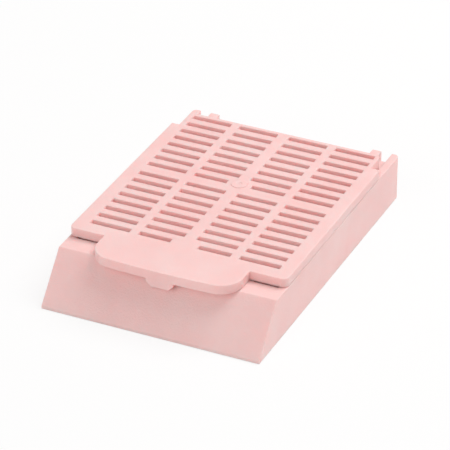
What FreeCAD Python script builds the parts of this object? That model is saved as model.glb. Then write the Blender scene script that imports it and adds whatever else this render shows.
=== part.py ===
import FreeCAD, Part
import os
import Sketcher

# Tissue cassette: a slotted tray with a writing ramp, and the snap lid that closes it.
# X runs across the tray, +Y from the ramp to the hinge end, +Z up.
# The origin is the middle of the tray's footprint, on the plane that it stands on.

# name, value in millimetres (or a plain count)
DIMENSIONS = [
    ("width", "28"),
    ("total_length", "41.6"),
    ("rim_height", "5.9"),
    ("side_wall", "1"),
    ("rear_wall", "1.1"),
    ("floor_thickness", "1.2"),
    # Ramp, ledge and the sloped wall behind them
    ("ramp_run", "4.8"),
    ("ledge_run", "2.6"),
    ("front_wall_slope", "1.2"),
    ("ramp_plate", "1.2"),
    ("ledge_hole", "1.05"),
    ("ledge_hole_pair_x", "7.4"),
    ("ledge_hole_gap", "1.94"),
    ("ledge_hole_back", "1.3"),
    ("foot_edge", "0.4"),
    ("hollow_wall", "1"),
    ("ramp_rib", "0.8"),
    # Slotted floor, four columns of cross slots in two blocks of rows
    ("slot_length", "5.2"),
    ("floor_slot_width", "1"),
    ("slot_rib", "1.1"),
    ("centre_rib", "1.5"),
    ("row_pitch", "1.82"),
    ("block_gap", "0.62"),
    ("rows_per_block", "8"),
    ("first_row", "1.1"),
    ("floor_gate_pad", "3"),
    # Rear end: ears and the two posts
    ("ear_reach", "1.8"),
    ("ear_width", "3.6"),
    ("post_width", "0.75"),
    ("post_spacing", "4.5"),
    ("post_reach", "2.3"),
    ("post_land", "0.3"),
    # Lid
    ("lid_thickness", "1.2"),
    ("lid_rear_gap", "0.2"),
    ("lid_clearance", "0.05"),
    ("tongue_root", "18.7"),
    ("tongue_reach", "4.7"),
    ("tongue_bow", "0.35"),
    ("tongue_corner", "2.8"),
    ("lid_slot_width", "0.8"),
    ("lid_gate_pad", "3.2"),
    ("gate_boss", "2"),
    ("gate_boss_height", "0.12"),
    ("root_strip", "3.5"),
    ("skirt_depth", "1.2"),
    ("skirt_thickness", "1"),
    ("skirt_inset", "0.3"),
    ("skirt_set_back", "0.55"),
    ("skirt_length", "3.1"),
    ("leg_thickness", "0.95"),
    ("leg_length", "3.3"),
    ("leg_depth", "2.6"),
    ("leg_clearance", "0.2"),
    ("leg_land", "0.35"),
    ("toe_reach", "1.45"),
    ("toe_height", "1"),
    ("toe_drop", "0.4"),
    # Lug under the tip of the tongue
    ("lug_width", "3.5"),
    ("lug_thickness", "0.8"),
    ("lug_ramp_gap", "0.27"),
    ("lug_set_back", "0.15"),
    ("lug_end_chamfer", "0.6"),
    # Softened corners
    ("ear_corner", "0.6"),
    ("lid_corner", "0.8"),
]

doc = FreeCAD.newDocument("TissueCassette")
sheet = doc.addObject("Spreadsheet::Sheet", "Dimensions")
for row, (alias, value) in enumerate(DIMENSIONS, start=1):
    sheet.set(f"A{row}", alias)
    sheet.set(f"B{row}", value)
    sheet.setAlias(f"B{row}", alias)
doc.recompute()


def size(alias):
    """The plain number that the sheet holds under an alias."""
    return float(sheet.get(alias))


# ---------------------------------------------------------------- places worked out from the sizes
# Each is an expression, so that the sketches follow the sheet.
S = "Dimensions."
FOOT = f"(-{S}total_length / 2)"
LEDGE_BACK = f"({FOOT} + {S}ramp_run + {S}ledge_run)"
FLOOR_FRONT = f"({LEDGE_BACK} + {S}front_wall_slope)"
REAR_OUTER = f"({S}total_length / 2 - {S}ear_reach)"
REAR_INNER = f"({REAR_OUTER} - {S}rear_wall)"
INSIDE = f"({S}width / 2 - {S}side_wall)"
LID_BOTTOM = f"({S}rim_height + {S}lid_clearance)"
LID_END = f"({REAR_INNER} - {S}lid_rear_gap)"
LEG_OUTER = f"({INSIDE} - {S}leg_clearance)"
ROW_BLOCK = f"({S}rows_per_block * {S}row_pitch)"
RAMP_RISE = f"({S}rim_height - {S}foot_edge)"


def number(expression):
    """The value of one of the expressions above."""
    return float(sheet.evalExpression(expression))


def origin_plane(body, role):
    """The body's own origin plane with that role."""
    return next(item for item in body.Origin.OriginFeatures if item.Role == role)


def new_body(name):
    """An empty body whose label is the piece's name."""
    body = doc.addObject("PartDesign::Body", name.capitalize())
    body.Label = name
    body.Placement = FreeCAD.Placement()
    return body


def new_sketch(body, name, role, offset="0"):
    """A sketch on an origin plane, moved along the plane's normal by an expression."""
    sketch = body.newObject("Sketcher::SketchObject", name)
    sketch.AttachmentSupport = [(origin_plane(body, role), "")]
    sketch.MapMode = "FlatFace"
    sketch.setExpression("AttachmentOffset.Base.z", offset)
    return sketch


def bind(sketch, kind, first, first_end, second, second_end, expression, label):
    """A driving distance between two sketch points, bound to an expression."""
    index = sketch.addConstraint(
        Sketcher.Constraint(kind, first, first_end, second, second_end, 1.0))
    sketch.renameConstraint(index, label)
    sketch.setExpression(f"Constraints.{label}", expression)


def outline(sketch, points):
    """A closed polygon whose corners are bound to pairs of expressions."""
    places = [FreeCAD.Vector(number(x), number(y), 0) for x, y in points]
    first = sketch.GeometryCount
    for start, end in zip(places, places[1:] + places[:1]):
        sketch.addGeometry(Part.LineSegment(start, end), False)
    for step in range(len(places)):
        sketch.addConstraint(Sketcher.Constraint(
            "Coincident", first + step, 2, first + (step + 1) % len(places), 1))
    for step, (x, y) in enumerate(points):
        for kind, expression, value in (("DistanceX", x, places[step].x),
                                        ("DistanceY", y, places[step].y)):
            index = sketch.addConstraint(
                Sketcher.Constraint(kind, -1, 1, first + step, 1, value))
            label = f"corner_{first + step}_{kind[-1].lower()}"
            sketch.renameConstraint(index, label)
            sketch.setExpression(f"Constraints.{label}", expression)


def rectangle(sketch, left, right, low, high):
    """A rectangle between four expressions."""
    outline(sketch, [(left, low), (right, low), (right, high), (left, high)])


def mirrored(expression):
    """The same place on the other side of the middle plane."""
    return f"(-{expression})"


def pad(body, sketch, name, length, midplane=False, backwards=False):
    """Material on a sketch, along the plane's normal."""
    feature = body.newObject("PartDesign::Pad", name)
    feature.Profile = sketch
    feature.setExpression("Length", length)
    feature.Midplane = midplane
    feature.Reversed = backwards
    sketch.Visibility = False
    doc.recompute()
    return feature


def pocket(body, sketch, name, length, midplane=False, upwards=False):
    """A cut from a sketch, into the material behind the plane or in front of it."""
    before = body.Shape.Volume
    feature = body.newObject("PartDesign::Pocket", name)
    feature.Profile = sketch
    feature.setExpression("Length", length)
    feature.Midplane = midplane
    feature.Reversed = upwards
    sketch.Visibility = False
    doc.recompute()
    if body.Shape.Volume >= before:
        raise RuntimeError(f"{name} cuts nothing")
    return feature


def column_edges(side, column):
    """The two ends of a slot in a column, counted outwards from the middle."""
    inner = f"({S}centre_rib / 2 + {column} * ({S}slot_length + {S}slot_rib))"
    outer = f"({inner} + {S}slot_length)"
    if side < 0:
        return mirrored(outer), mirrored(inner)
    return inner, outer


def row_centre(first_row, block, row="0"):
    """The middle of a row, counted rearwards from the first one."""
    return f"({first_row} + {block} * ({ROW_BLOCK} + {S}block_gap) + {row} * {S}row_pitch)"


def cut_slots(body, bottom, thickness, first_row, slot_width):
    """Two blocks of cross slots in four columns, through a plate."""
    for block in (0, 1):
        centre = row_centre(first_row, block)
        sketch = new_sketch(body, f"{body.Name}Slots{block}", "XY_Plane", bottom)
        for side in (-1, 1):
            for column in (0, 1):
                left, right = column_edges(side, column)
                rectangle(sketch, left, right, f"({centre} - {slot_width} / 2)",
                          f"({centre} + {slot_width} / 2)")
        first = pocket(body, sketch, f"{body.Name}SlotRow{block}", thickness, upwards=True)
        rows = body.newObject("PartDesign::LinearPattern", f"{body.Name}Rows{block}")
        rows.Originals = [first]
        rows.Direction = (sketch, ["V_Axis"])
        rows.setExpression("Length", f"({S}rows_per_block - 1) * {S}row_pitch")
        rows.setExpression("Occurrences", f"{S}rows_per_block")
        body.Tip = rows
        doc.recompute()


def soften(body, name, radius, wanted):
    """A fillet on the edges whose two end points both pass a test."""
    before = body.Tip
    edges = [f"Edge{index}" for index, edge in enumerate(before.Shape.Edges, start=1)
             if len(edge.Vertexes) == 2 and wanted(*[v.Point for v in edge.Vertexes])]
    if not edges:
        raise RuntimeError(f"{name} finds no edge")
    feature = body.newObject("PartDesign::Fillet", name)
    feature.Base = (before, edges)
    feature.setExpression("Radius", radius)
    doc.recompute()


def disc(body, name, bottom, middle, across, thickness):
    """A round pad on the middle plane, at a place along the part."""
    sketch = new_sketch(body, name, "XY_Plane", bottom)
    circle = Part.Circle(FreeCAD.Vector(0, number(middle), 0), FreeCAD.Vector(0, 0, 1), 1.0)
    sketch.addGeometry(circle, False)
    sketch.addConstraint(Sketcher.Constraint("PointOnObject", 0, 3, -2))
    bind(sketch, "DistanceY", -1, 1, 0, 3, middle, "centre_y")
    diameter = sketch.addConstraint(Sketcher.Constraint("Diameter", 0, 2.0))
    sketch.renameConstraint(diameter, "across")
    sketch.setExpression("Constraints.across", across)
    pad(body, sketch, f"{name}Disc", thickness)


def same(a, b):
    """Whether two lengths are the same."""
    return abs(a - b) < 1e-4


# ---------------------------------------------------------------- base
FIRST_ROW = f"({FLOOR_FRONT} + {S}first_row)"
POST_OUTER = f"({S}post_spacing / 2 + {S}post_width / 2)"


def add_tray(body):
    """The outside: a block with the writing ramp across its front, then the open chamber."""
    side = new_sketch(body, "SideProfile", "YZ_Plane")
    outline(side, [
        (FOOT, "0"),
        (REAR_OUTER, "0"),
        (REAR_OUTER, f"{S}rim_height"),
        (f"({FOOT} + {S}ramp_run)", f"{S}rim_height"),
        (FOOT, f"{S}foot_edge"),
    ])
    pad(body, side, "Block", f"{S}width", midplane=True)

    chamber = new_sketch(body, "ChamberProfile", "YZ_Plane")
    outline(chamber, [
        (FLOOR_FRONT, f"{S}floor_thickness"),
        (REAR_INNER, f"{S}floor_thickness"),
        (REAR_INNER, f"{S}rim_height"),
        (LEDGE_BACK, f"{S}rim_height"),
    ])
    pocket(body, chamber, "Chamber", f"{S}width - 2 * {S}side_wall", midplane=True)


def add_ramp_hollow(body):
    """The space under the ramp, open below, in bays between thin ribs."""
    ceiling = f"({S}rim_height - {S}ramp_plate)"
    lean = f"({S}ramp_run / {RAMP_RISE})"
    plate_run = f"({S}ramp_plate * sqrt(1 + pow({lean}; 2)))"
    wall_lean = f"({S}front_wall_slope / ({S}rim_height - {S}floor_thickness))"
    wall_run = f"({S}hollow_wall * sqrt(1 + pow({wall_lean}; 2)))"
    wall_at_top = f"({LEDGE_BACK} + {wall_lean} * {S}ramp_plate - {wall_run})"
    wall_at_foot = f"({LEDGE_BACK} + {wall_lean} * {S}rim_height - {wall_run})"
    plate_at_foot = f"({FOOT} - {lean} * {S}foot_edge + {plate_run})"
    plate_at_top = f"({plate_at_foot} + {lean} * {ceiling})"
    section = [
        (plate_at_foot, "0"),
        (wall_at_foot, "0"),
        (wall_at_top, ceiling),
        (plate_at_top, ceiling),
    ]
    hollow = new_sketch(body, "HollowProfile", "YZ_Plane")
    outline(hollow, section)
    pocket(body, hollow, "RampHollow", f"{S}width - 2 * {S}side_wall", midplane=True)
    for name, side in (("Left", -1), ("Right", 1)):
        rib = new_sketch(body, f"{name}RibProfile", "YZ_Plane", f"{side} * {S}ledge_hole_pair_x")
        outline(rib, section)
        pad(body, rib, f"{name}Rib", f"{S}ramp_rib", midplane=True)


def add_ledge_holes(body):
    """Square holes in pairs down through the ledge, one each side of a rib."""
    holes = new_sketch(body, "LedgeHoles", "XY_Plane", f"{S}rim_height")
    middle_y = f"({LEDGE_BACK} - {S}ledge_hole_back)"
    for side in (-1, 1):
        for half in (-1, 1):
            middle_x = f"({side} * {S}ledge_hole_pair_x + {half} * {S}ledge_hole_gap / 2)"
            rectangle(holes, f"({middle_x} - {S}ledge_hole / 2)", f"({middle_x} + {S}ledge_hole / 2)",
                      f"({middle_y} - {S}ledge_hole / 2)", f"({middle_y} + {S}ledge_hole / 2)")
    pocket(body, holes, "LedgeHolePairs", f"{S}ramp_plate")


def add_ears(body):
    """Two ears behind the rear wall, each split by the slot that takes a leg of the lid."""
    ears = new_sketch(body, "Ears", "XY_Plane")
    slot_floor = f"({LID_BOTTOM} - {S}leg_depth - {S}leg_land)"
    slots = new_sketch(body, "HingeSlots", "XY_Plane", slot_floor)
    end = f"({S}total_length / 2)"
    outer = f"({S}width / 2)"
    inner = f"({S}width / 2 - {S}ear_width)"
    slot_inner = f"({LEG_OUTER} - {S}leg_thickness - {S}leg_clearance)"
    rectangle(ears, inner, outer, REAR_OUTER, end)
    rectangle(ears, mirrored(outer), mirrored(inner), REAR_OUTER, end)
    pad(body, ears, "EarBlocks", f"{S}rim_height")
    rectangle(slots, slot_inner, INSIDE, REAR_INNER, end)
    rectangle(slots, mirrored(INSIDE), mirrored(slot_inner), REAR_INNER, end)
    pocket(body, slots, "HingeSlotCuts", f"{S}rim_height - {slot_floor}", upwards=True)


def add_posts(body):
    """Two thin webs inside the rear wall, with a solid floor between them."""
    land = f"({POST_OUTER} + {S}post_land)"
    last_row = row_centre(FIRST_ROW, 1, f"({S}rows_per_block - 1)")
    floor = new_sketch(body, "PostLand", "XY_Plane")
    rectangle(floor, mirrored(land), land, f"({last_row} - {S}floor_slot_width / 2)", REAR_INNER)
    pad(body, floor, "PostLandPad", f"{S}floor_thickness")

    posts = new_sketch(body, "Posts", "XY_Plane", f"{S}floor_thickness")
    for side in (-1, 1):
        middle = f"({side} * {S}post_spacing / 2)"
        rectangle(posts, f"({middle} - {S}post_width / 2)", f"({middle} + {S}post_width / 2)",
                  f"({REAR_INNER} - {S}post_reach)", REAR_INNER)
    pad(body, posts, "PostPads", f"{S}rim_height - {S}floor_thickness")


def make_base():
    """The tray."""
    body = new_body("base")
    add_tray(body)
    add_ramp_hollow(body)
    add_ledge_holes(body)
    cut_slots(body, "0", f"{S}floor_thickness", FIRST_ROW, f"{S}floor_slot_width")
    between_blocks = f"({row_centre(FIRST_ROW, 1)} - ({S}row_pitch + {S}block_gap) / 2)"
    disc(body, "FloorGatePad", "0", between_blocks, f"{S}floor_gate_pad", f"{S}floor_thickness")
    add_ears(body)
    add_posts(body)
    half_width = size("width") / 2
    soften(body, "EarCorners", f"{S}ear_corner",
           lambda a, b: same(abs(a.x), half_width) and same(a.x, b.x) and same(a.y, b.y)
           and same(a.y, number("Dimensions.total_length / 2")))
    return body


# ---------------------------------------------------------------- lid
LEG_FRONT = f"({LID_END} - {S}leg_length)"


def add_plate(body):
    """The flat plate, full width up to the legs and narrower between the ears."""
    plate = new_sketch(body, "Plate", "XY_Plane", LID_BOTTOM)
    wide = f"({S}width / 2)"
    outline(plate, [
        (mirrored(wide), LEDGE_BACK),
        (wide, LEDGE_BACK),
        (wide, LEG_FRONT),
        (LEG_OUTER, LEG_FRONT),
        (LEG_OUTER, LID_END),
        (mirrored(LEG_OUTER), LID_END),
        (mirrored(LEG_OUTER), LEG_FRONT),
        (mirrored(wide), LEG_FRONT),
    ])
    pad(body, plate, "PlatePad", f"{S}lid_thickness")


def add_tongue(body):
    """The finger tongue, with a slightly bowed front edge and round corners."""
    half = f"({S}tongue_root / 2)"
    shoulder = f"({LEDGE_BACK} - {S}tongue_reach + {S}tongue_bow)"
    left = FreeCAD.Vector(-number(half), number(shoulder), 0)
    right = FreeCAD.Vector(number(half), number(shoulder), 0)
    tip = FreeCAD.Vector(0, number(shoulder) - size("tongue_bow"), 0)
    root = number(LEDGE_BACK)
    sketch = new_sketch(body, "Tongue", "XY_Plane", LID_BOTTOM)
    sketch.addGeometry(Part.Arc(left, tip, right), False)
    sketch.addGeometry(Part.LineSegment(right, FreeCAD.Vector(right.x, root, 0)), False)
    sketch.addGeometry(Part.LineSegment(FreeCAD.Vector(right.x, root, 0),
                                        FreeCAD.Vector(left.x, root, 0)), False)
    sketch.addGeometry(Part.LineSegment(FreeCAD.Vector(left.x, root, 0), left), False)
    for first, first_end, second, second_end in ((0, 2, 1, 1), (1, 2, 2, 1), (2, 2, 3, 1), (3, 2, 0, 1)):
        sketch.addConstraint(Sketcher.Constraint("Coincident", first, first_end, second, second_end))
    sketch.addConstraint(Sketcher.Constraint("Horizontal", 2))
    bind(sketch, "DistanceX", -1, 1, 1, 1, half, "right_x")
    bind(sketch, "DistanceX", 3, 2, -1, 1, half, "left_x")
    bind(sketch, "DistanceX", -1, 1, 1, 2, half, "root_right_x")
    bind(sketch, "DistanceX", 2, 2, -1, 1, half, "root_left_x")
    bind(sketch, "DistanceY", -1, 1, 1, 1, shoulder, "right_y")
    bind(sketch, "DistanceY", -1, 1, 3, 2, shoulder, "left_y")
    bind(sketch, "DistanceY", -1, 1, 1, 2, LEDGE_BACK, "root_y")
    radius = sketch.addConstraint(Sketcher.Constraint("Radius", 0, 100.0))
    sketch.renameConstraint(radius, "bow_radius")
    sketch.setExpression("Constraints.bow_radius",
                         f"(pow({half}; 2) + pow({S}tongue_bow; 2)) / (2 * {S}tongue_bow)")
    pad(body, sketch, "TonguePad", f"{S}lid_thickness")
    soften(body, "TongueCorners", f"{S}tongue_corner",
           lambda a, b: same(a.y, number(shoulder)) and same(a.y, b.y) and same(a.x, b.x))


def add_gate(body):
    """The solid pad where the lid is gated, over the inner ends of two slots, and its low boss."""
    middle = row_centre(FIRST_ROW, 1)
    top = f"({LID_BOTTOM} + {S}lid_thickness)"
    disc(body, "LidGatePad", LID_BOTTOM, middle, f"{S}lid_gate_pad", f"{S}lid_thickness")
    disc(body, "GateBoss", top, middle, f"{S}gate_boss", f"{S}gate_boss_height")


def add_root_strip(body):
    """The solid strip behind the tongue, which shortens the first row of slots."""
    strip = new_sketch(body, "RootStrip", "XY_Plane", LID_BOTTOM)
    half = f"({S}root_strip / 2)"
    rectangle(strip, mirrored(half), half, LEDGE_BACK, f"({FIRST_ROW} + {S}lid_slot_width / 2)")
    pad(body, strip, "RootStripPad", f"{S}lid_thickness")


def add_lug(body):
    """The lug under the tip of the tongue, which a fingertip lifts, just clear of the ramp."""
    lug = new_sketch(body, "Lug", "XY_Plane", LID_BOTTOM)
    half = f"({S}lug_width / 2)"
    front = f"({LEDGE_BACK} - {S}tongue_reach + {S}lug_set_back)"
    back = f"({front} + {S}lug_thickness)"
    ramp_below = f"({S}foot_edge + {RAMP_RISE} * ({back} - {FOOT}) / {S}ramp_run)"
    lug_bottom = f"({ramp_below} + {S}lug_ramp_gap)"
    rectangle(lug, mirrored(half), half, front, back)
    pad(body, lug, "LugPad", f"({LID_BOTTOM} - {lug_bottom})", backwards=True)
    tip = number(lug_bottom)
    side = number(half)
    ends = [index for index, edge in enumerate(body.Tip.Shape.Edges, start=1)
            if all(same(v.Z, tip) and same(abs(v.X), side) for v in edge.Vertexes)
            and same(edge.Vertexes[0].X, edge.Vertexes[-1].X)]
    before = body.Tip
    chamfer = body.newObject("PartDesign::Chamfer", "LugEnds")
    chamfer.Base = (before, [f"Edge{index}" for index in ends])
    chamfer.setExpression("Size", f"{S}lug_end_chamfer")
    doc.recompute()


def add_skirts(body):
    """Short skirts that locate the front edge between the side walls."""
    skirts = new_sketch(body, "Skirts", "XY_Plane", LID_BOTTOM)
    outer = f"({INSIDE} - {S}skirt_inset)"
    inner = f"({outer} - {S}skirt_length)"
    front = f"({LEDGE_BACK} + {S}skirt_set_back)"
    back = f"({front} + {S}skirt_thickness)"
    rectangle(skirts, inner, outer, front, back)
    rectangle(skirts, mirrored(outer), mirrored(inner), front, back)
    pad(body, skirts, "SkirtPads", f"{S}skirt_depth", backwards=True)


def add_legs(body):
    """The two legs inside the rear corners, with the toes that pass through the rear wall."""
    legs = new_sketch(body, "Legs", "XY_Plane", LID_BOTTOM)
    toes = new_sketch(body, "Toes", "XY_Plane", f"{LID_BOTTOM} - {S}toe_drop")
    inner = f"({LEG_OUTER} - {S}leg_thickness)"
    toe_root = f"({LID_END} - {S}leg_thickness)"
    toe_end = f"({LID_END} + {S}toe_reach)"
    rectangle(legs, inner, LEG_OUTER, LEG_FRONT, LID_END)
    rectangle(legs, mirrored(LEG_OUTER), mirrored(inner), LEG_FRONT, LID_END)
    pad(body, legs, "LegPads", f"{S}leg_depth", backwards=True)
    rectangle(toes, inner, LEG_OUTER, toe_root, toe_end)
    rectangle(toes, mirrored(LEG_OUTER), mirrored(inner), toe_root, toe_end)
    pad(body, toes, "ToePads", f"{S}toe_height", backwards=True)


def make_lid():
    """The lid, closed on the tray."""
    body = new_body("lid")
    add_plate(body)
    add_tongue(body)
    cut_slots(body, LID_BOTTOM, f"{S}lid_thickness", FIRST_ROW, f"{S}lid_slot_width")
    add_gate(body)
    add_root_strip(body)
    add_lug(body)
    add_skirts(body)
    add_legs(body)
    half_width = size("width") / 2
    front = number(LEDGE_BACK)
    leg_side = number(LEG_OUTER)
    end = number(LID_END)
    rim = size("rim_height")
    soften(body, "LidCorners", f"{S}lid_corner",
           lambda a, b: same(a.x, b.x) and same(a.y, b.y)
           and (same(abs(a.x), half_width) and same(a.y, front)
                or same(abs(a.x), leg_side) and same(a.y, end) and max(a.z, b.z) > rim))
    return body


bodies = [make_base(), make_lid()]
doc.recompute()

for item in doc.Objects:
    if "Invalid" in item.State or "Error" in item.State:
        raise RuntimeError(f"{item.Name} did not build: {item.State}")
for body in bodies:
    if body.Shape.isNull() or not body.Shape.isValid() or len(body.Shape.Solids) != 1:
        raise RuntimeError(f"{body.Label} is not one valid solid")

os.makedirs("parts", exist_ok=True)
for body in bodies:
    body.Shape.exportStep(f"parts/{body.Label}.step")
    box = body.Shape.BoundBox
    print(body.Label, round(body.Shape.Volume, 1), "mm3",
          [round(v, 2) for v in (box.XMin, box.XMax, box.YMin, box.YMax, box.ZMin, box.ZMax)])
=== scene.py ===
import math

import bmesh
import bpy
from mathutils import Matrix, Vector


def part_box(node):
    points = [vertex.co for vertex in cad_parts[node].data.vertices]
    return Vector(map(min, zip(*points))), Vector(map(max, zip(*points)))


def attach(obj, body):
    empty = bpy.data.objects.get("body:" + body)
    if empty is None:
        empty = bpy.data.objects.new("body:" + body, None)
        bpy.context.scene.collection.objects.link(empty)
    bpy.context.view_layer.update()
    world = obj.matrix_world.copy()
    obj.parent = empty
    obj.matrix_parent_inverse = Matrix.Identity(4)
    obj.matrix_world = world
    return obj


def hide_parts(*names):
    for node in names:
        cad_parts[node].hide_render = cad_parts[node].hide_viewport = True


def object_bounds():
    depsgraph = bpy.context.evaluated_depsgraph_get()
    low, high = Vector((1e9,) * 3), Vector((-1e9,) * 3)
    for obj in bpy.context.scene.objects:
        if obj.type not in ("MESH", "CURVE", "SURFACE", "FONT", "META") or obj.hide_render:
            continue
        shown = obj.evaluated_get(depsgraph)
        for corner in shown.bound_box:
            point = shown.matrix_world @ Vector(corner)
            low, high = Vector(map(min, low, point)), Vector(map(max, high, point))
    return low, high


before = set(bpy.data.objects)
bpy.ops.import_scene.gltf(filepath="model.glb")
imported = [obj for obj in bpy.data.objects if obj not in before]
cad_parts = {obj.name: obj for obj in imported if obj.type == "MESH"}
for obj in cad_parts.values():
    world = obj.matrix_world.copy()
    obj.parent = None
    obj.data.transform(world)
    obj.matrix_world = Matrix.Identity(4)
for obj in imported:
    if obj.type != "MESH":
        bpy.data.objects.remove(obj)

# A tissue cassette: a slotted tray with a writing ramp and its hinged lid, two acetal mouldings.
# X runs across the tray, +Y from the ramp to the hinge end, +Z up. Everything is in metres.

MM = 0.001
CAD_BOX = [list(corner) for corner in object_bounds()]
LOW, HIGH = (Vector(corner) for corner in CAD_BOX)

# ---------------------------------------------------------------- sizes of the mouldings
EDGE_RADIUS = 0.11 * MM
EDGE_STEPS = 2
SHARP_ANGLE = math.radians(30)

# The slot grid that the tray's floor and the lid share
SLOT_LENGTH = 5.2 * MM
SLOT_RIB = 1.1 * MM
CENTRE_RIB = 1.5 * MM
ROW_PITCH = 1.82 * MM
BLOCK_GAP = 0.62 * MM
ROWS_PER_BLOCK = 8
BLOCK_STEP = ROWS_PER_BLOCK * ROW_PITCH + BLOCK_GAP
FLOOR_SLOT_WIDTH = 1.0 * MM
LID_SLOT_WIDTH = 0.8 * MM
SLOT_DRAFT = 0.07 * MM
PLATE_THICKNESS = 1.2 * MM
PAD_RADIUS = 1.5 * MM
LID_UNDER = 5.95 * MM

# The first row of both grids, from the front of the tray
FIRST_ROW = 9.7 * MM

# The gate's dimple: how far in from the rim of its boss it starts, its sloped side and its depth
DIMPLE_MARGIN = 0.66 * MM
DIMPLE_SLOPE = 0.05 * MM
DIMPLE_DEPTH = 0.08 * MM

# ---------------------------------------------------------------- limits for the mesh work
# Two places this close are the same
TOUCH = 0.01 * MM
# Corners of loose triangles this close are merged
MERGE = 0.002 * MM
# A corner this close to a cut counts as on it
CUT_MARGIN = 0.001 * MM
# Faces that differ by less than this are one flat
FLAT_ANGLE = math.radians(0.3)
# A face whose normal has this much Z lies level
LEVEL = 0.999
# How much of the free width beside an edge its radius may take
ROOM_SHARE = 0.9
# A run with room for less than this share of the full radius stays sharp
LEAST_SHARE = 0.1
# Two edges whose run along each other is below this share of their length are square to each other
SQUARE = 1e-6
# Two edges that leave a corner at less than this angle share the room between them
FORK_ANGLE = math.radians(40)
# Two sharp edges that meet at more than this angle are one run
RUN_ANGLE = math.radians(150)
# How strongly large faces lead when the shading of the rounded edges is worked out
FLATS_LEAD = 80

# ---------------------------------------------------------------- the plastic's pattern sizes
DYE_CLOUD = 7 * MM
SINK_WAVE = 5 * MM
SINK_DEPTH = 0.03 * MM
# Real grit is about 0.04 mm across, drawn coarser so that it shows
TOOL_GRIT = 0.22 * MM
GRIT_HEIGHT = 0.07 * MM
GLOW_DEPTH = 1.2 * MM

# ---------------------------------------------------------------- the stage
TABLE_HALF_WIDTH = 1.5
TABLE_GLOW = 0.82
ROOM_STRENGTH = 0.44
CAMERA_TURN = math.radians(25)
CAMERA_RISE = math.radians(31)
CAMERA_DISTANCE = 0.367
CAMERA_LENS = 245
CAMERA_SENSOR = 36


# ---------------------------------------------------------------- node helpers
def add_node(tree, kind, inputs=None, **settings):
    """Adds one node, sets its properties and fills or links its inputs."""
    node = tree.nodes.new(kind)
    for name, value in settings.items():
        setattr(node, name, value)
    for name, value in (inputs or {}).items():
        socket = node.inputs[name]
        if isinstance(value, bpy.types.NodeSocket):
            tree.links.new(value, socket)
        else:
            socket.default_value = value
    return node


def empty_tree(owner):
    """A material's or world's own node tree, with nothing in it."""
    owner.use_nodes = True
    owner.node_tree.nodes.clear()
    return owner.node_tree


def linear(hex_colour):
    """A linear RGBA colour from an sRGB hex value."""
    parts = [int(hex_colour[i:i + 2], 16) / 255 for i in (1, 3, 5)]
    curve = [c / 12.92 if c <= 0.04045 else ((c + 0.055) / 1.055) ** 2.4 for c in parts]
    return (*curve, 1.0)


# ---------------------------------------------------------------- materials
def moulded_acetal():
    """Pink acetal, injection moulded in a fine spark-eroded tool.

    Acetal is a waxy, slightly translucent white plastic, so thin ribs and slot walls glow with
    the dye while the flats stay pale. The tool leaves a satin grain, and the dye very faint clouds.
    """
    material = bpy.data.materials.new("moulded_acetal_pink")
    tree = empty_tree(material)
    place = add_node(tree, "ShaderNodeTexCoord").outputs["Object"]

    # The dye is never mixed quite evenly
    clouds = add_node(tree, "ShaderNodeTexNoise",
                      {"Vector": place, "Scale": 1 / DYE_CLOUD, "Detail": 3.0, "Roughness": 0.55})
    dye = add_node(tree, "ShaderNodeValToRGB", {"Fac": clouds.outputs["Fac"]})
    dye.color_ramp.elements[0].position = 0.32
    dye.color_ramp.elements[0].color = linear("#facac7")
    dye.color_ramp.elements[1].position = 0.70
    dye.color_ramp.elements[1].color = linear("#fbd3d0")

    # The spark-eroded tool's grain
    grain = add_node(tree, "ShaderNodeTexNoise",
                     {"Vector": place, "Scale": 1 / TOOL_GRIT, "Detail": 3.0, "Roughness": 0.65})
    satin = add_node(tree, "ShaderNodeMapRange",
                     {"Value": grain.outputs["Fac"], "To Min": 0.36, "To Max": 0.52})
    # Sink: the flats are out of true by a few microns
    sink = add_node(tree, "ShaderNodeTexNoise",
                    {"Vector": place, "Scale": 1 / SINK_WAVE, "Detail": 1.0})
    sunk = add_node(tree, "ShaderNodeBump",
                    {"Height": sink.outputs["Fac"], "Strength": 0.1, "Distance": SINK_DEPTH})
    bump = add_node(tree, "ShaderNodeBump",
                    {"Height": grain.outputs["Fac"], "Strength": 0.7, "Distance": GRIT_HEIGHT,
                     "Normal": sunk.outputs["Normal"]})

    shader = add_node(tree, "ShaderNodeBsdfPrincipled",
                      {"Base Color": dye.outputs["Color"],
                       "Roughness": satin.outputs["Result"],
                       "Normal": bump.outputs["Normal"],
                       "IOR": 1.48,
                       "Subsurface Weight": 0.5,
                       "Subsurface Radius": (1.0, 0.38, 0.36),
                       "Subsurface Scale": GLOW_DEPTH})
    add_node(tree, "ShaderNodeOutputMaterial", {"Surface": shader.outputs["BSDF"]})
    return material


def matte_white_table():
    """A matte white table that the camera sees brighter, so that it reads as paper white."""
    material = bpy.data.materials.new("white_table")
    tree = empty_tree(material)
    matte = add_node(tree, "ShaderNodeBsdfDiffuse", {"Color": linear("#f4f2f1")})
    light = add_node(tree, "ShaderNodeEmission", {"Color": (1, 1, 1, 1), "Strength": 1.0})
    path = add_node(tree, "ShaderNodeLightPath").outputs
    seen = add_node(tree, "ShaderNodeMath",
                    {0: path["Is Camera Ray"], 1: path["Is Glossy Ray"]}, operation="MAXIMUM")
    share = add_node(tree, "ShaderNodeMath",
                     {0: seen.outputs["Value"], 1: TABLE_GLOW}, operation="MULTIPLY")
    mixed = add_node(tree, "ShaderNodeMixShader",
                     {"Fac": share.outputs["Value"], 1: matte.outputs["BSDF"],
                      2: light.outputs["Emission"]})
    add_node(tree, "ShaderNodeOutputMaterial", {"Surface": mixed.outputs["Shader"]})
    return material


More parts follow.
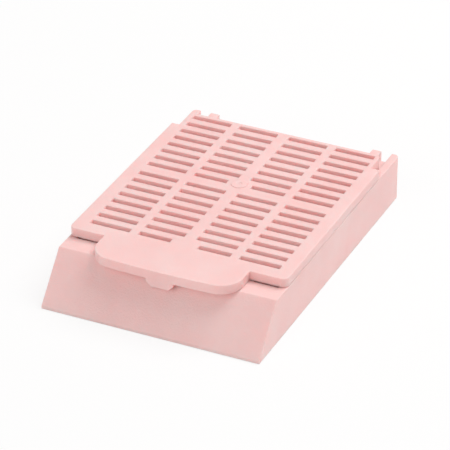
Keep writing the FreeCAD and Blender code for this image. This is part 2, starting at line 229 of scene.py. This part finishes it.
# ---------------------------------------------------------------- slot draft
def slot_draft_tree():
    """Narrows every slot of a grid towards one face, as the tool's draft does.

    Each vertex finds the slot that it belongs to from the grid's own rule. At the narrow face,
    one on a side or square end of that slot moves inwards by the draft, and the points of a
    round end move in proportion to their distance from the slot's middle line.
    """
    tree = bpy.data.node_groups.new("slot_draft", "GeometryNodeTree")
    sockets = tree.interface
    sockets.new_socket("Geometry", in_out="OUTPUT", socket_type="NodeSocketGeometry")
    sockets.new_socket("Geometry", in_out="INPUT", socket_type="NodeSocketGeometry")
    for name in ("Slot length", "Slot width", "Slot rib", "Centre rib", "Row pitch", "Block gap",
                 "Rows per block", "First row", "Narrow face height", "Draft", "Tolerance"):
        sockets.new_socket(name, in_out="INPUT", socket_type="NodeSocketFloat")
    sockets.new_socket("Material", in_out="INPUT", socket_type="NodeSocketMaterial")
    given = add_node(tree, "NodeGroupInput").outputs

    def calc(operation, first, second=0.0, third=0.0):
        """One step of arithmetic on the tree's values."""
        inputs = {0: first, 1: second, 2: third}
        return add_node(tree, "ShaderNodeMath", inputs, operation=operation).outputs["Value"]

    def close_to(first, second):
        """1 where two values are the same within the tolerance."""
        return calc("COMPARE", first, second, given["Tolerance"])

    place = add_node(tree, "GeometryNodeInputPosition").outputs["Position"]
    split = add_node(tree, "ShaderNodeSeparateXYZ", {"Vector": place}).outputs

    # Across: two columns each side of the centre rib
    column_step = calc("ADD", given["Slot length"], given["Slot rib"])
    inner_middle = calc("MULTIPLY", calc("ADD", given["Centre rib"], given["Slot length"]), 0.5)
    past_rib = calc("ADD", inner_middle, calc("MULTIPLY", column_step, 0.5))
    distance = calc("ABSOLUTE", split["X"])
    is_outer = calc("GREATER_THAN", distance, past_rib)
    middle = calc("ADD", inner_middle, calc("MULTIPLY", is_outer, column_step))
    across = calc("SUBTRACT", distance, middle)
    half_length = calc("MULTIPLY", given["Slot length"], 0.5)
    on_end = close_to(calc("ABSOLUTE", across), half_length)
    in_length = calc("LESS_THAN", calc("ABSOLUTE", across),
                     calc("ADD", half_length, given["Tolerance"]))

    # Along: two blocks of rows with a wider rib between them
    block_length = calc("MULTIPLY", given["Row pitch"], given["Rows per block"])
    block_step = calc("ADD", block_length, given["Block gap"])
    from_first = calc("SUBTRACT", split["Y"], given["First row"])
    half_step = calc("MULTIPLY", calc("ADD", given["Row pitch"], given["Block gap"]), 0.5)
    is_rear = calc("GREATER_THAN", from_first, calc("SUBTRACT", block_step, half_step))
    in_block = calc("SUBTRACT", from_first, calc("MULTIPLY", is_rear, block_step))
    counted = calc("ROUND", calc("DIVIDE", in_block, given["Row pitch"]))
    last = calc("SUBTRACT", given["Rows per block"], 1.0)
    nearest = calc("MAXIMUM", calc("MINIMUM", counted, last), 0.0)
    along = calc("SUBTRACT", in_block, calc("MULTIPLY", nearest, given["Row pitch"]))
    half_width = calc("MULTIPLY", given["Slot width"], 0.5)
    on_side = close_to(calc("ABSOLUTE", along), half_width)
    in_width = calc("LESS_THAN", calc("ABSOLUTE", along),
                    calc("ADD", half_width, given["Tolerance"]))

    # The move inwards
    narrowing = calc("MULTIPLY", along, calc("DIVIDE", given["Draft"], half_width))
    side_move = calc("MULTIPLY", calc("MULTIPLY", in_width, in_length), narrowing)
    end_move = calc("MULTIPLY", calc("MULTIPLY", on_end, on_side), given["Draft"])
    towards = calc("MULTIPLY", calc("SIGN", across), calc("SIGN", split["X"]))
    offset = add_node(tree, "ShaderNodeCombineXYZ",
                      {"X": calc("MULTIPLY", calc("MULTIPLY", towards, end_move), -1.0),
                       "Y": calc("MULTIPLY", side_move, -1.0)})
    at_face = close_to(split["Z"], given["Narrow face height"])
    drafted = add_node(tree, "GeometryNodeSetPosition",
                       {"Geometry": given["Geometry"], "Selection": at_face,
                        "Offset": offset.outputs["Vector"]}).outputs[0]
    real = add_node(tree, "GeometryNodeRealizeInstances", {"Geometry": drafted}).outputs[0]
    dressed = add_node(tree, "GeometryNodeSetMaterial",
                       {"Geometry": real, "Material": given["Material"]}).outputs[0]
    add_node(tree, "NodeGroupOutput", {"Geometry": dressed})
    return tree


def add_slot_draft(piece, tree, material, slot_width, first_row, narrow_face):
    """Puts the slot draft tree on a piece with that piece's sizes."""
    modifier = piece.modifiers.new("slot draft", "NODES")
    modifier.node_group = tree
    sizes = {
        "Slot length": SLOT_LENGTH,
        "Slot width": slot_width,
        "Slot rib": SLOT_RIB,
        "Centre rib": CENTRE_RIB,
        "Row pitch": ROW_PITCH,
        "Block gap": BLOCK_GAP,
        "Rows per block": float(ROWS_PER_BLOCK),
        "First row": first_row,
        "Narrow face height": narrow_face,
        "Draft": SLOT_DRAFT,
        "Tolerance": TOUCH,
        "Material": material,
    }
    sockets = {item.name: item.identifier
               for item in tree.interface.items_tree if item.in_out == "INPUT"}
    for name, value in sizes.items():
        modifier[sockets[name]] = value


# ---------------------------------------------------------------- mouldings
def slot_lines(first_row, slot_width):
    """Where the slots' ends lie across the part, and their sides along it."""
    across = [side * (CENTRE_RIB / 2 + column * (SLOT_LENGTH + SLOT_RIB) + end)
              for side in (-1, 1) for column in (0, 1) for end in (0.0, SLOT_LENGTH)]
    rows = [first_row + block * BLOCK_STEP + row * ROW_PITCH
            for block in (0, 1) for row in range(ROWS_PER_BLOCK)]
    along = [row + side * slot_width / 2 for row in rows for side in (-1, 1)]
    return across, along


def divide_plate(work, levels, across, along, pad_middle):
    """Divides the slotted plate's two faces along the slot grid, except on its round gate pad."""
    lines = [(Vector((0.0, 1.0, 0.0)), place) for place in along]
    lines += [(Vector((1.0, 0.0, 0.0)), place) for place in across]
    front, rear = min(along) - TOUCH, max(along) + TOUCH
    for normal, place in lines:
        parts = []
        for face in work.faces:
            centre = face.calc_center_median()
            on_plate = min(abs(centre.z - level) for level in levels) < TOUCH
            in_grid = normal.y > 0.0 or front < centre.y < rear
            if abs(face.normal.z) > LEVEL and on_plate and in_grid:
                parts += [face, *face.edges, *face.verts]
        cut = bmesh.ops.bisect_plane(work, geom=list(dict.fromkeys(parts)), dist=CUT_MARGIN,
                                     plane_co=normal * place, plane_no=normal)
        for item in cut["geom_cut"]:
            if isinstance(item, bmesh.types.BMEdge):
                item.seam = True
    for edge in work.edges:
        middle = (edge.verts[0].co + edge.verts[1].co) / 2
        if math.hypot(middle.x, middle.y - pad_middle) < PAD_RADIUS:
            edge.seam = False


def sink_gate_dimple(work):
    """The shallow dimple that the gate leaves in its boss, whose top is the part's highest face."""
    tops = [face for face in work.faces
            if face.normal.z > LEVEL and abs(face.calc_center_median().z - HIGH.z) < TOUCH]
    for inset, rise in ((DIMPLE_MARGIN, 0.0), (DIMPLE_SLOPE, -DIMPLE_DEPTH)):
        bmesh.ops.inset_individual(work, faces=tops, thickness=inset, depth=rise)


def clean_copy(node, name, levels, across, along, pad_middle):
    """The CAD node's shape as a new piece, with its flats divided only along the slot grid."""
    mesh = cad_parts[node].data.copy()
    mesh.name = name
    mesh.materials.clear()
    work = bmesh.new()
    work.from_mesh(mesh)
    bmesh.ops.remove_doubles(work, verts=work.verts, dist=MERGE)
    divide_plate(work, levels, across, along, pad_middle)
    bmesh.ops.dissolve_limit(work, angle_limit=FLAT_ANGLE, verts=work.verts,
                             edges=work.edges, delimit={"SEAM"})
    sink_gate_dimple(work)
    weigh_edges(work)
    work.to_mesh(mesh)
    work.free()
    if "custom_normal" in mesh.attributes:
        mesh.attributes.remove(mesh.attributes["custom_normal"])
    piece = bpy.data.objects.new(name, mesh)
    bpy.context.scene.collection.objects.link(piece)
    return piece


def room_beside(edge, other):
    """How far another edge of the same face is from this one, where the two lie side by side."""
    start, end = (vert.co for vert in edge.verts)
    first, last = (vert.co for vert in other.verts)
    along = end - start
    squared = along.length_squared
    from_first, from_last = ((point - start).dot(along) / squared for point in (first, last))
    run = from_last - from_first
    shares = (0.0, 1.0)
    if abs(run) > SQUARE:
        shares = sorted((-from_first / run, (1.0 - from_first) / run))
    low, high = max(0.0, shares[0]), min(1.0, shares[1])
    if low >= high or max(from_first, from_last) <= 0.0 or min(from_first, from_last) >= 1.0:
        return math.inf
    ends = (first.lerp(last, share) - start for share in (low, high))
    return min((point - along * (point.dot(along) / squared)).length for point in ends)


def room_in_fork(edge, other, corner):
    """How far apart two edges that leave a corner at a sharp angle are at the nearer end."""
    arms = [item.other_vert(corner).co - corner.co for item in (edge, other)]
    angle = arms[0].angle(arms[1])
    if angle > FORK_ANGLE:
        return math.inf
    return min(arm.length for arm in arms) * math.sin(angle)


def room_for(edge, sharp):
    """The widest radius that one edge has room for on the faces beside it."""
    room = EDGE_RADIUS
    for face in edge.link_faces:
        for other in face.edges:
            if other is not edge:
                share = ROOM_SHARE / 2 if other in sharp else ROOM_SHARE
                corner = next(iter(set(other.verts) & set(edge.verts)), None)
                gap = room_in_fork(edge, other, corner) if corner else room_beside(edge, other)
                room = min(room, share * gap)
    return room


def smooth_run(start, sharp):
    """The sharp edges that carry on from one another without a corner."""
    found, waiting = {start}, [start]
    while waiting:
        edge = waiting.pop()
        for corner in edge.verts:
            arm = edge.other_vert(corner).co - corner.co
            for other in corner.link_edges:
                if other in sharp and other not in found:
                    if arm.angle(other.other_vert(corner).co - corner.co) > RUN_ANGLE:
                        found.add(other)
                        waiting.append(other)
    return found


def weigh_edges(work):
    """Gives each run of sharp edges the share of the full radius that it has room for."""
    weights = work.edges.layers.float.new("bevel_weight_edge")
    sharp = {edge for edge in work.edges if edge.calc_face_angle(0.0) > SHARP_ANGLE}
    rooms = {edge: room_for(edge, sharp) for edge in sharp}
    waiting = set(sharp)
    while waiting:
        run = smooth_run(next(iter(waiting)), sharp)
        waiting -= run
        share = min(rooms[edge] for edge in run) / EDGE_RADIUS
        for edge in run:
            edge[weights] = share if share > LEAST_SHARE else 0.0


def round_edges(piece):
    """The small radius that every moulded edge has, with the flats left flat."""
    bevel = piece.modifiers.new("edge radius", "BEVEL")
    bevel.width = EDGE_RADIUS
    bevel.segments = EDGE_STEPS
    bevel.limit_method = "WEIGHT"
    bevel.use_clamp_overlap = False
    bevel.loop_slide = False


def settle(piece, material):
    """Turns the modifiers' result into the piece's own plain mesh."""
    shown = piece.evaluated_get(bpy.context.evaluated_depsgraph_get())
    mesh = bpy.data.meshes.new_from_object(shown)
    piece.modifiers.clear()
    piece.data = mesh
    mesh.materials.clear()
    mesh.materials.append(material)
    for polygon in mesh.polygons:
        polygon.material_index = 0
        polygon.use_smooth = True
    mesh.set_sharp_from_angle(angle=SHARP_ANGLE)
    weigh = piece.modifiers.new("flat faces lead", "WEIGHTED_NORMAL")
    weigh.keep_sharp = True
    weigh.weight = FLATS_LEAD
    shown = piece.evaluated_get(bpy.context.evaluated_depsgraph_get())
    piece.data = bpy.data.meshes.new_from_object(shown)
    piece.modifiers.clear()


def make_moulding(node, body, name, tree, material, slot_width, first_row, under, pad_middle):
    """One moulding: the node's shape with drafted slots and rounded edges."""
    across, along = slot_lines(first_row, slot_width)
    piece = clean_copy(node, name, (under, under + PLATE_THICKNESS), across, along, pad_middle)
    add_slot_draft(piece, tree, material, slot_width, first_row, under)
    round_edges(piece)
    settle(piece, material)
    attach(piece, body)
    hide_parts(node)


# ---------------------------------------------------------------- stage
def make_floor():
    """A wide pale table."""
    corners = [(x * TABLE_HALF_WIDTH, y * TABLE_HALF_WIDTH, LOW.z)
               for x, y in ((-1, -1), (1, -1), (1, 1), (-1, 1))]
    mesh = bpy.data.meshes.new("floor")
    mesh.from_pydata(corners, [], [(0, 1, 2, 3)])
    mesh.materials.append(matte_white_table())
    floor = bpy.data.objects.new("floor", mesh)
    bpy.context.scene.collection.objects.link(floor)


def look_at_middle(item, towards, distance):
    """Stands a lamp or camera away from the part's middle in a direction, facing it."""
    bpy.context.scene.collection.objects.link(item)
    towards = Vector(towards).normalized()
    item.location = (LOW + HIGH) / 2 + towards * distance
    item.rotation_euler = towards.to_track_quat("Z", "Y").to_euler()


def make_lamp(name, towards, distance, size, watts):
    """A round white soft box."""
    data = bpy.data.lights.new(name, "AREA")
    data.shape = "DISK"
    data.size = size
    data.energy = watts
    look_at_middle(bpy.data.objects.new(name, data), towards, distance)


def make_lights():
    """A key from high behind on the right, a broad fill from the front left and a white room."""
    make_lamp("key", towards=(0.40, 0.45, 1.0), distance=0.45, size=0.35, watts=1.49)
    make_lamp("fill", towards=(-0.3, -1.0, 0.6), distance=0.60, size=0.45, watts=0.8)
    world = bpy.data.worlds.new("white_room")
    bpy.context.scene.world = world
    tree = empty_tree(world)
    path = add_node(tree, "ShaderNodeLightPath").outputs
    room = add_node(tree, "ShaderNodeBackground",
                    {"Color": linear("#fdfbfa"), "Strength": ROOM_STRENGTH})
    paper = add_node(tree, "ShaderNodeBackground", {"Color": (1, 1, 1, 1), "Strength": 1.0})
    mixed = add_node(tree, "ShaderNodeMixShader",
                     {"Fac": path["Is Camera Ray"], 1: room.outputs["Background"],
                      2: paper.outputs["Background"]})
    add_node(tree, "ShaderNodeOutputWorld", {"Surface": mixed.outputs["Shader"]})


def make_camera():
    """A long lens a third of a metre away, to the front right and above."""
    data = bpy.data.cameras.new("camera")
    data.lens = CAMERA_LENS
    data.sensor_width = CAMERA_SENSOR
    camera = bpy.data.objects.new("camera", data)
    level = math.cos(CAMERA_RISE)
    towards = (math.sin(CAMERA_TURN) * level, -math.cos(CAMERA_TURN) * level, math.sin(CAMERA_RISE))
    look_at_middle(camera, towards, CAMERA_DISTANCE)
    bpy.context.scene.camera = camera


# ---------------------------------------------------------------- the whole
bpy.context.scene.view_settings.view_transform = "Standard"
acetal = moulded_acetal()
draft = slot_draft_tree()
base_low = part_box("base")[0]
first_row = base_low.y + FIRST_ROW
rear_block = first_row + BLOCK_STEP
between_blocks = rear_block - (ROW_PITCH + BLOCK_GAP) / 2
make_moulding("base", "tray_body", "tray_moulding", draft, acetal,
              FLOOR_SLOT_WIDTH, first_row, base_low.z, between_blocks)
make_moulding("lid", "lid_body", "lid_moulding", draft, acetal,
              LID_SLOT_WIDTH, first_row, base_low.z + LID_UNDER, rear_block)
make_floor()
make_lights()
make_camera()
